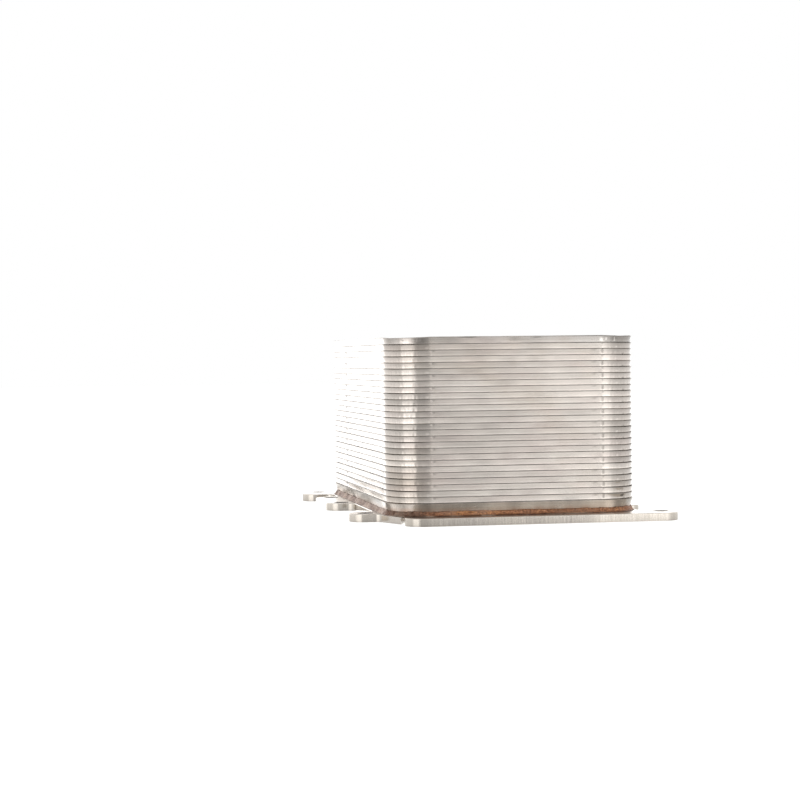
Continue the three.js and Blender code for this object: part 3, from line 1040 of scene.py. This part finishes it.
def flange_plate(material):
    """The bolt-down plate: blanked outline with a rolled top edge, and drilled holes."""
    bottom, top = FLANGE_LOW[2], FLANGE_HIGH[2]
    place, normal = rounded(flange_corners())
    rng = random.Random(11)
    nick = np.array([rng.uniform(0, NICK_DEPTH) for _ in place])
    body = Body(edge=0.0, bore=0.0)
    rolled = (
        # Inset, height and how strongly the sheared edge shows.
        (0.4, bottom, 0),
        (0.12, bottom + 0.1, 0.6),
        (0.03, bottom + 0.32, 1),
        (0.0, bottom + 1.2, 1),
        (0.0, top - 1.0, 1),
        (0.05, top - 0.42, 1),
        (0.16, top - 0.16, 0.5),
        (0.34, top - 0.03, 0),
        (0.6, top, 0),
    )
    rings = []
    for inset, z, edge in rolled:
        xy = place - normal * (inset + nick * edge)[:, None]
        rings.append(body.ring(np.column_stack([xy, np.full(len(place), z)]), edge=edge))
    body.walls(rings)
    under, over = [], []
    bolt_rows = hole_rows(BOLT_HOLE_RADIUS, bottom, top, 0.4, 0.12)
    port_hole_rows = hole_rows(PORT_RADIUS, bottom, top, 0.5, 0.15)
    # The last number of each hole is how strongly painted shade darkens its inside.
    holes = [(centre, bolt_rows, BOLT_HOLE_STEPS, 1.0) for centre in BOLT_HOLES]
    holes += [(centre, port_hole_rows, PORT_STEPS, 0.3) for centre in PORTS]
    for (x, y), rows, steps, dark in holes:
        lowest, highest = body.bore(x, y, rows, steps, bore=dark)
        under.append(lowest)
        over.append(highest)
    body.cap(rings[0], under, up=False)
    body.cap(rings[-1], over, up=True)
    return body.piece("flange_plate", material, "flange_steel", "mounting_flange")


# ------------------------------------------------------------------ camera and studio

CAMERA_PLACE = (-259.4, -1197.3, 90.1)
CAMERA_HEADING, CAMERA_DIP, CAMERA_ROLL = -10.186, 1.165, -0.656  # in degrees
CAMERA_LENS = 92.565


def scene_camera():
    """A level view of the front, a little from the left."""
    camera = bpy.data.objects.new("camera", bpy.data.cameras.new("camera"))
    bpy.context.scene.collection.objects.link(camera)
    bpy.context.scene.camera = camera
    camera.location = Vector(CAMERA_PLACE) * MM
    heading = Euler((0, 0, math.radians(CAMERA_HEADING))).to_matrix()
    pitch = Euler((math.radians(90 - CAMERA_DIP), 0, 0)).to_matrix()
    roll = Euler((0, 0, math.radians(CAMERA_ROLL))).to_matrix()
    camera.rotation_euler = (heading @ pitch @ roll).to_euler()
    camera.data.sensor_width = 36
    camera.data.lens = CAMERA_LENS
    camera.data.clip_start = 0.01


# The studio as a reflective part sees it: degrees right of straight ahead of the front
# face, and how bright the surroundings are there.
STUDIO = [
    (-180, 1.1), (-177, 1.3), (-175, 2.0), (-165, 2.0), (-158, 1.3), (-150, 1.1), (-84, 1.02),
    (-78, 1.08), (-73, 1.6), (-52, 1.7), (-39, 1.66), (-34, 0.72), (0, 0.7), (9.8, 0.66),
    (10.8, 0.79), (13, 0.88), (14.6, 0.84), (15.7, 0.82), (16.2, 2.0), (19, 2.0), (21.5, 1.65),
    (32, 1.6), (42, 1.36), (50, 1.07), (70, 0.93), (94, 0.94), (126, 1.0),
    (148, 1.08), (158, 2.0), (170, 2.2), (176, 1.4), (180, 1.1),
]
BRIGHTEST = 2.4
CEILING = (0.42, 0.42, 0.42, 1)
WHITE = (1, 1, 1, 1)
FLOOR_SIZE = 6.0  # metres from its middle to its edges
FLOOR_DROP = 0.2  # below the part, so that the two don't share a plane


def surroundings(n, direction):
    """The STUDIO list as a ramp round the horizon, as a share of BRIGHTEST."""
    turned = n.node("Mapping", ("Vector", direction), ("Rotation", (0, 0, math.pi / 2)))
    around = n.node("TexGradient", ("Vector", turned.outputs["Vector"]), gradient_type="RADIAL")
    ramp = n.node("ValToRGB", ("Fac", around.outputs["Fac"]))
    stops = ramp.color_ramp.elements
    for index, (angle, level) in enumerate(STUDIO):
        at = 0.5 + angle / 360
        stop = stops[index] if index < 2 else stops.new(at)  # a new ramp comes with two
        stop.position = at
        stop.color = (level / BRIGHTEST,) * 3 + (1,)
    return ramp.outputs["Color"]


def studio():
    """Soft walls round the part, darker low down, a grey ceiling, and white for the camera."""
    scene = bpy.context.scene
    scene.view_settings.view_transform = "Standard"
    world = bpy.data.worlds.new("studio")
    scene.world = world
    world.use_nodes = True
    n = Nodes(world.node_tree)
    direction = n.node("TexCoord").outputs["Generated"]
    height = n.node("SeparateXYZ", ("Vector", direction)).outputs["Z"]
    rising = n.span(height, -0.6, 0.0, 0.78, 1.08)
    horizon = n.span(height, -0.14, 0.02, 0.0, 0.16)
    walls = n.shade(surroundings(n, direction), n.math("ADD", rising, horizon))
    room = n.mix(n.span(height, 0.45, 0.8, 0.0, 1.0), walls, CEILING)
    lit = n.node("Background", ("Color", room), ("Strength", BRIGHTEST))
    white = n.node("Background", ("Color", WHITE))
    seen = n.node("LightPath").outputs["Is Camera Ray"]
    both = n.node("MixShader", (0, seen), (1, lit.outputs[0]), (2, white.outputs[0]))
    n.tree.links.new(both.outputs[0], n.tree.nodes["World Output"].inputs["Surface"])


def floor():
    """A plain white floor, too evenly lit for the part to shade it."""
    size, z = FLOOR_SIZE, -FLOOR_DROP * MM
    corners = [(-size, -size, z), (size, -size, z), (size, size, z), (-size, size, z)]
    mesh = bpy.data.meshes.new("floor")
    mesh.from_pydata(corners, [], [(0, 1, 2, 3)])
    plane = bpy.data.objects.new("floor", mesh)
    bpy.context.scene.collection.objects.link(plane)
    material = bpy.data.materials.new("pale_floor")
    material.use_nodes = True
    surface = material.node_tree.nodes["Principled BSDF"]
    surface.inputs["Base Color"].default_value = (0.2, 0.2, 0.2, 1)
    surface.inputs["Roughness"].default_value = 0.9
    surface.inputs["Specular IOR Level"].default_value = 0.0
    surface.inputs["Emission Color"].default_value = WHITE
    surface.inputs["Emission Strength"].default_value = 1.0
    mesh.materials.append(material)
    plane.visible_glossy = False


# ------------------------------------------------------------------ build

plate_steel = stainless(
    "plate_steel",
    dull=(0.50, 0.46, 0.42, 1),
    bright=(0.74, 0.685, 0.63, 1),
    edge_colour=(0.17, 0.155, 0.14, 1),
    roughness=0.19,
)
cover_steel = stainless(
    "cover_steel",
    dull=(0.38, 0.355, 0.33, 1),
    bright=(0.82, 0.775, 0.73, 1),
    edge_colour=(0.12, 0.11, 0.10, 1),
    roughness=0.22,
)
base_steel = stainless(
    "base_steel",
    dull=(0.38, 0.355, 0.322, 1),
    bright=(0.78, 0.725, 0.66, 1),
    edge_colour=(0.14, 0.125, 0.11, 1),
    roughness=0.24,
    haze=0.65,
    smudge=0.2,
)
channel_plates(plate_steel)
base_dish(base_steel)
cover_dish(cover_steel)
copper_fillet(copper_braze())
flange_plate(plated_steel())
turbulators(fin_stock())
scene_camera()
studio()
floor()
